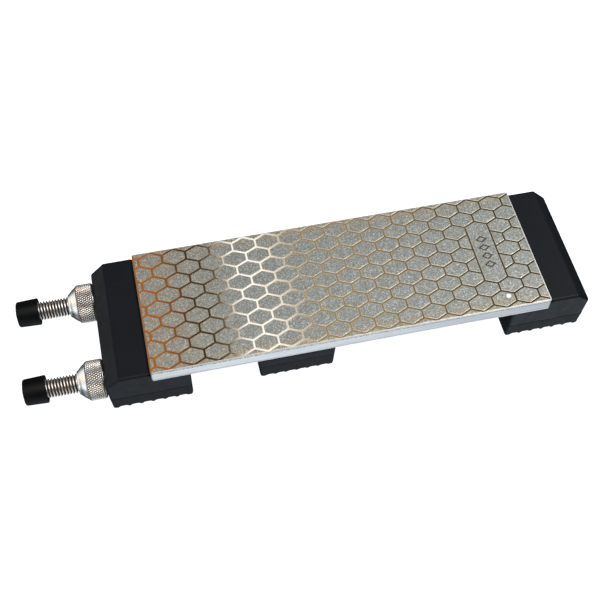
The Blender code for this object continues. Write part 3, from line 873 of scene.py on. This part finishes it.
def cells():
    """All cell outlines of one face, clipped to the plate, with the marking panel."""
    found = []
    rim_x, rim_y = 0.00055, 0.00040
    panel_x = X0 + 0.00759 + 14 * STEP_X
    for row in range(-5, 6):
        even = row % 2 == 0
        for k in range(-1, 18):
            cx = X0 + (0.00759 if even else 0.00249) + k * STEP_X
            cy = row * STEP_Y
            if abs(row) <= 2 and even and abs(cx - panel_x) < 0.001:
                continue
            hexagon = [(cx + HEX_HALF_X, cy - HEX_FLAT), (cx + HEX_HALF_X, cy + HEX_FLAT), (cx, cy + HEX_TIP),
                       (cx - HEX_HALF_X, cy + HEX_FLAT), (cx - HEX_HALF_X, cy - HEX_FLAT), (cx, cy - HEX_TIP)]
            poly = shrink(hexagon, LINE / 2)
            if abs(row) <= 1 and not even:
                if cx < panel_x and cx + HEX_HALF_X > panel_x - HEX_HALF_X + 1e-5:
                    poly = clip(poly, 1, 0, panel_x - HEX_HALF_X - LINE / 2)
                elif cx > panel_x and cx - HEX_HALF_X < panel_x + HEX_HALF_X - 1e-5:
                    poly = clip(poly, -1, 0, -(panel_x + HEX_HALF_X + LINE / 2))
            for nx, ny, d in ((1, 0, X1 - rim_x), (-1, 0, -(X0 + rim_x)), (0, 1, HALF_W - rim_y), (0, -1, HALF_W - rim_y)):
                poly = clip(poly, nx, ny, d) if poly else poly
            if len(poly) >= 3 and area(poly) > 2.5e-7:
                found.append(poly)
    tip = 2 * STEP_Y + HEX_TIP
    flat = 2 * STEP_Y + HEX_FLAT
    panel = [(panel_x + HEX_HALF_X, -flat), (panel_x + HEX_HALF_X, flat), (panel_x, tip),
             (panel_x - HEX_HALF_X, flat), (panel_x - HEX_HALF_X, -flat), (panel_x, -tip)]
    found.append(shrink(panel, LINE / 2))
    return found, panel_x


def tidy(poly):
    """Drops corners closer than 0.03 mm to the one before."""
    out = []
    for p in poly:
        if not out or math.hypot(p[0] - out[-1][0], p[1] - out[-1][1]) > 3e-5:
            out.append(p)
    if len(out) > 1 and math.hypot(out[0][0] - out[-1][0], out[0][1] - out[-1][1]) <= 3e-5:
        out.pop()
    return out


def cell_mesh(name, outlines, z_floor, z_face, material):
    """Each cell is a low closed plateau with sloping sides, from just inside the sheet
    to z_face."""
    verts, faces = [], []
    up = 1.0 if z_face > z_floor else -1.0
    for poly in outlines:
        poly = tidy(poly)
        mid = tidy(shrink(poly, 0.00007))
        top = tidy(shrink(poly, 0.00020))
        if len(poly) < 3 or len(mid) != len(poly) or len(top) != len(poly):
            top = mid = None
        n = len(poly)
        base = len(verts)
        layers = [(poly, z_floor - up * 0.00005), (poly, z_floor)]
        if top is None:
            layers.append((poly, z_face))
        else:
            layers += [(mid, z_face - up * 0.000037), (top, z_face)]
        for loop, z in layers:
            verts += [(x, y, z) for x, y in loop]
        for k in range(len(layers) - 1):
            for i in range(n):
                j = (i + 1) % n
                f = (base + k * n + i, base + k * n + j, base + (k + 1) * n + j, base + (k + 1) * n + i)
                faces.append(f if up > 0 else f[::-1])
        bottom = tuple(base + i for i in reversed(range(n)))
        lid = tuple(base + (len(layers) - 1) * n + i for i in range(n))
        faces += [bottom, lid] if up > 0 else [bottom[::-1], lid[::-1]]
    mesh = bpy.data.meshes.new(name)
    mesh.from_pydata(verts, [], faces)
    mesh.materials.append(material)
    mesh.materials.append(edge_nickel)
    for poly in mesh.polygons:
        poly.material_index = 0 if abs(poly.normal.z) > 0.999 else 1
    mesh.shade_flat()
    ob = bpy.data.objects.new(name, mesh)
    bpy.context.scene.collection.objects.link(ob)
    return ob


def sheet_plate(name, z0, z1, material, corner=0.0008, edge=0.00012, rim=None):
    """The thin plate under the cells, with rounded corners and a broken edge."""
    outline = []
    for cx, cy, a0 in ((X1 - corner, HALF_W - corner, 0), (X0 + corner, HALF_W - corner, 90),
                       (X0 + corner, -HALF_W + corner, 180), (X1 - corner, -HALF_W + corner, 270)):
        for k in range(7):
            a = math.radians(a0 + 15 * k)
            outline.append((cx + corner * math.cos(a), cy + corner * math.sin(a)))
    n = len(outline)
    verts, faces = [], []
    for z, inset in ((z0, edge), (z0 + edge, 0.0), (z1 - edge, 0.0), (z1, edge)):
        loop = shrink(outline, inset) if inset else outline
        if len(loop) != n:
            loop = [(x - math.copysign(inset, x - (X0 + X1) / 2), y - math.copysign(inset, y)) for x, y in outline]
        verts += [(x, y, z) for x, y in loop]
    for k in range(3):
        for i in range(n):
            j = (i + 1) % n
            faces.append((k * n + i, k * n + j, (k + 1) * n + j, (k + 1) * n + i))
    faces += [tuple(reversed(range(n))), tuple(3 * n + i for i in range(n))]
    plate = mesh_object(name, verts, faces, material, 30.0)
    if rim:
        plate.data.materials.append(rim)
        for poly in plate.data.polygons:
            poly.material_index = 0 if abs(poly.normal.z) > 0.9 else 1
    return plate


outlines, panel_x = cells()
top_sheet = sheet_plate("bronze_sheet_top", core_hi.z + 0.00005, TOP - RISE, bronze, rim=nickel.mat)
place(top_sheet, "stone", "diamond_coarse", "diamond_sheet_coarse")
top_cells = cell_mesh("diamond_cells_coarse", outlines, TOP - RISE, TOP, grit_coarse)
place(top_cells, "stone", "diamond_coarse", "diamond_sheet_coarse")
low_sheet = sheet_plate("bronze_sheet_under", under_lo.z + RISE, core_lo.z - 0.00005, bronze, rim=nickel.mat)
place(low_sheet, "stone", "diamond_fine", "diamond_sheet_fine")
low_cells = cell_mesh("diamond_cells_fine", outlines, under_lo.z + RISE, under_lo.z, grit_fine)
place(low_cells, "stone", "diamond_fine", "diamond_sheet_fine")
core = sheet_plate("plate_core_aluminium", core_lo.z, core_hi.z, alu.mat, edge=0.00012)
place(core, "stone", "stone_core", "stone_core")


def rhombus_marks(name, count, z_face, up, half_x, half_y, pitch, stroke):
    """A row of hollow rhombi, a plain sign for the grade of grit."""
    verts, faces = [], []
    for i in range(count):
        cy = (i - (count - 1) / 2) * pitch
        rings = []
        for grow in (0.0, -stroke):
            k = 1 + grow * math.hypot(half_x, half_y) / (half_x * half_y)
            rings.append([(panel_x + half_x * k, cy), (panel_x, cy + half_y * k), (panel_x - half_x * k, cy),
                          (panel_x, cy - half_y * k)])
        base = len(verts)
        for z in (z_face - up * 0.00004, z_face - up * 0.000004 + up * 0.000004):
            for ring in rings:
                verts += [(x, y, z) for x, y in ring]
        for s in range(4):
            t = (s + 1) % 4
            o0, o1, i0, i1 = base + s, base + t, base + 4 + s, base + 4 + t
            O0, O1, I0, I1 = o0 + 8, o1 + 8, i0 + 8, i1 + 8
            faces += [(O0, O1, I1, I0), (o1, o0, i0, i1), (o0, o1, O1, O0), (i1, i0, I0, I1)]
    ob = mesh_object(name, verts, faces, ink.mat, 30.0, weighted=False)
    return ob


lift = 0.000012
mark = rhombus_marks("grade_marks_coarse", 4, TOP + lift, 1.0, 0.0027, 0.00185, 0.0045, 0.00062)
place(mark, "stone", "diamond_coarse")
mark = rhombus_marks("grade_marks_fine", 7, under_lo.z - lift, -1.0, 0.0016, 0.0011, 0.0029, 0.00032)
place(mark, "stone", "diamond_fine")
dot = lathe("white_dot", [(0.0, 0.0), (0.0, 0.00095), (-0.00004, 0.00108), (-0.0001, 0.00108), (-0.0001, 0.0)],
            0, 0, 0, dot_white.mat, sides=24)
dot.data.transform(Matrix.Translation((X0 + 0.1527, -0.0241, TOP + 0.00002)) @ Matrix.Rotation(-math.pi / 2, 4, "Y"))
place(dot, "stone", "diamond_coarse")

# ---------------------------------------------------------------- CAD nodes that stay
for node, material in (("sliding_jaw_core", nylon.mat), ("fixed_jaw_core", nylon.mat),
                       ("thrust_bush_front", bush_brass), ("thrust_bush_rear", bush_brass),
                       ("anchor_nut_front", anchor_steel), ("anchor_nut_rear", anchor_steel)):
    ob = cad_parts[node]
    for slot in ob.material_slots:
        slot.material = material

# ---------------------------------------------------------------- floor, world, light
floor_mesh = bpy.data.meshes.new("floor")
floor_mesh.from_pydata([(-6, -6, 0), (6, -6, 0), (6, 6, 0), (-6, 6, 0)], [], [(0, 1, 2, 3)])
floor = bpy.data.objects.new("floor", floor_mesh)
floor.location.z = -0.00002
bpy.context.scene.collection.objects.link(floor)
fs = Shader("floor_white", (0.40, 0.40, 0.40), 0.9, 0.0, Specular_IOR_Level=0.0)
fs.set("Emission Color", (0.93, 0.975, 1.0, 1.0))
fs.set("Emission Strength", 1.02)
floor_mesh.materials.append(fs.mat)
floor.visible_glossy = False

world = bpy.data.worlds.new("studio")
bpy.context.scene.world = world
world.use_nodes = True
wt = world.node_tree
for n in list(wt.nodes):
    wt.nodes.remove(n)


def wn(kind, **inputs):
    node = wt.nodes.new(kind)
    for k, v in inputs.items():
        key = k.replace("_", " ")
        if hasattr(v, "is_linked"):
            wt.links.new(v, node.inputs[key])
        else:
            node.inputs[key].default_value = v
    return node


def wmath(op, a, b=0.0, c=0.0):
    node = wt.nodes.new("ShaderNodeMath")
    node.operation = op
    for i, v in enumerate((a, b, c)):
        if hasattr(v, "is_linked"):
            wt.links.new(v, node.inputs[i])
        else:
            node.inputs[i].default_value = v
    return node.outputs[0]


def wspan(v, a, b, to_a, to_b):
    node = wt.nodes.new("ShaderNodeMapRange")
    node.interpolation_type = "SMOOTHSTEP"
    wt.links.new(v, node.inputs["Value"])
    for k, x in (("From Min", a), ("From Max", b), ("To Min", to_a), ("To Max", to_b)):
        node.inputs[k].default_value = x
    return node.outputs["Result"]


def wglow(strength, color):
    """Radiance color * strength as a colour output."""
    node = wt.nodes.new("ShaderNodeVectorMath")
    node.operation = "SCALE"
    node.inputs[0].default_value = color
    wt.links.new(strength, node.inputs["Scale"])
    return node.outputs[0]


def wadd(a, b):
    node = wt.nodes.new("ShaderNodeVectorMath")
    node.operation = "ADD"
    wt.links.new(a, node.inputs[0])
    wt.links.new(b, node.inputs[1])
    return node.outputs[0]


def window(v, a, a1, b1, b):
    """1 between a1 and b1, falling to 0 at a and b."""
    return wmath("MULTIPLY", wspan(v, a, a1, 0.0, 1.0), wspan(v, b1, b, 1.0, 0.0))


direction = wt.nodes.new("ShaderNodeTexCoord").outputs["Generated"]
sep = wt.nodes.new("ShaderNodeSeparateXYZ")
wt.links.new(direction, sep.inputs[0])
dx, dy, dz = sep.outputs
# the angle from straight up, towards the front, in turns: 0 up, 0.25 front, -0.25 behind
turn_about = wmath("DIVIDE", wmath("ARCTAN2", wmath("MULTIPLY", dy, -1.0), dz), 2 * math.pi)


def band(stops):
    """A colour along the turn about the X axis; stops are (degrees from up, colour)."""
    node = wt.nodes.new("ShaderNodeValToRGB")
    el = node.color_ramp.elements
    while len(el) < len(stops):
        el.new(0.5)
    for e, (deg, c) in zip(el, stops):
        e.position = 0.5 + deg / 360.0
        e.color = (c[0], c[1], c[2], 1.0)
    wt.links.new(wmath("ADD", turn_about, 0.5), node.inputs["Fac"])
    return node.outputs["Color"]


def grey(v, tint=(1.0, 1.0, 1.0)):
    return tuple(v * t for t in tint)


COOL, WARM = (0.90, 0.97, 1.03), (1.0, 0.80, 0.52)
rig = band([
    (-180, grey(0.02)), (-150, grey(0.05)), (-100, grey(0.10, WARM)), (-88, grey(0.15, WARM)), (-62, grey(0.17, WARM)),
    (-48, grey(0.05)), (-18, grey(0.06)), (-8, grey(2.75)), (24, grey(2.75)), (37, grey(0.75)), (48, grey(0.10)), (72, grey(0.03)),
    (96, grey(0.05, COOL)), (108, grey(1.05, COOL)), (160, grey(1.05, COOL)), (172, grey(0.10)), (180, grey(0.02))])
sides = wmath("MULTIPLY", wspan(wmath("ABSOLUTE", dx), 0.50, 0.80, 1.0, 0.05), wspan(dx, -0.18, 0.50, 0.78, 1.42))
total = wt.nodes.new("ShaderNodeVectorMath")
total.operation = "SCALE"
wt.links.new(rig, total.inputs[0])
wt.links.new(sides, total.inputs["Scale"])
total = total.outputs[0]
# the white wall to the left, with a warm lamp standing before it
left = wmath("MULTIPLY", wspan(dx, -0.78, -0.62, 1.0, 0.0), wmath("MULTIPLY", wspan(dz, -0.42, -0.30, 0.0, 1.0),
                                                                  wspan(dz, 0.45, 0.65, 1.0, 0.0)))
total = wadd(total, wglow(wmath("MULTIPLY", left, 0.86), (0.93, 0.97, 1.0)))
lamp = wmath("MULTIPLY", wmath("MULTIPLY", wspan(dx, -0.72, -0.60, 1.0, 0.0), window(dy, 0.04, 0.10, 0.28, 0.34)),
             window(dz, -0.25, -0.15, 0.30, 0.40))
total = wadd(total, wglow(wmath("MULTIPLY", lamp, 1.3), (1.0, 0.55, 0.10)))

up = wmath("MAXIMUM", dz, 0.02)
u = wmath("DIVIDE", dx, up)
v = wmath("DIVIDE", dy, up)
above = wspan(dz, 0.0, 0.06, 0.0, 1.0)
behind = wmath("MULTIPLY", window(v, 0.34, 0.42, 1.00, 1.25), above)
# the strip softbox behind the object, with a long fall-off to the right
strip = wmath("MULTIPLY", wspan(u, 0.062, 0.079, 0.0, 1.0), wspan(u, 0.100, 0.165, 1.0, 0.0))
total = wadd(total, wglow(wmath("MULTIPLY", wmath("MULTIPLY", strip, behind), 1.40), (0.92, 1.06, 1.45)))
tail = window(u, 0.09, 0.14, 0.18, 0.42)
total = wadd(total, wglow(wmath("MULTIPLY", wmath("MULTIPLY", tail, behind), 0.34), (1.0, 0.84, 0.56)))
# the warm card to its left
warm = window(u, -0.45, -0.25, -0.020, 0.028)
total = wadd(total, wglow(wmath("MULTIPLY", wmath("MULTIPLY", warm, window(v, 0.50, 0.56, 0.80, 0.88)), 0.50), (1.0, 0.45, 0.03)))
# a low card to the front left, seen in the threads and the knurling
near_left = wmath("MULTIPLY", window(turn_about, 0.20, 0.24, 0.29, 0.33), wspan(dx, -0.10, -0.02, 1.0, 0.0))
total = wadd(total, wglow(wmath("MULTIPLY", near_left, 0.85), (0.94, 1.0, 1.07)))
# low fill from behind on both sides
fill = wmath("MULTIPLY", wspan(wmath("ABSOLUTE", dx), 0.55, 0.75, 0.0, 1.0),
             wmath("MULTIPLY", wspan(dz, -0.25, -0.10, 0.0, 1.0), wspan(dy, 0.20, 0.38, 0.0, 1.0)))
total = wadd(total, wglow(wmath("MULTIPLY", fill, 0.20), (0.96, 1.0, 0.96)))
lamp_data = bpy.data.lights.new("right_soft", "AREA")
lamp_data.shape, lamp_data.size, lamp_data.energy = "DISK", 0.24, 1.00
lamp_data.color = (0.98, 1.0, 1.0)
right_soft = bpy.data.objects.new("right_soft", lamp_data)
right_soft.location = (0.36, 0.02, 0.52)
right_soft.rotation_euler = (right_soft.location - Vector((0.06, 0.0, 0.02))).to_track_quat("Z", "Y").to_euler()
right_soft.visible_camera = False
bpy.context.scene.collection.objects.link(right_soft)

background = wt.nodes.new("ShaderNodeBackground")
wt.links.new(total, background.inputs["Color"])
plain = wt.nodes.new("ShaderNodeBackground")
plain.inputs["Color"].default_value = (1.0, 1.0, 1.0, 1.0)
path = wt.nodes.new("ShaderNodeLightPath")
mixer = wt.nodes.new("ShaderNodeMixShader")
wt.links.new(path.outputs["Is Camera Ray"], mixer.inputs[0])
wt.links.new(background.outputs[0], mixer.inputs[1])
wt.links.new(plain.outputs[0], mixer.inputs[2])
out = wt.nodes.new("ShaderNodeOutputWorld")
wt.links.new(mixer.outputs[0], out.inputs["Surface"])

view = bpy.context.scene.view_settings
view.view_transform = "Standard"
view.look = "None"
view.exposure = 0.0
view.gamma = 1.0
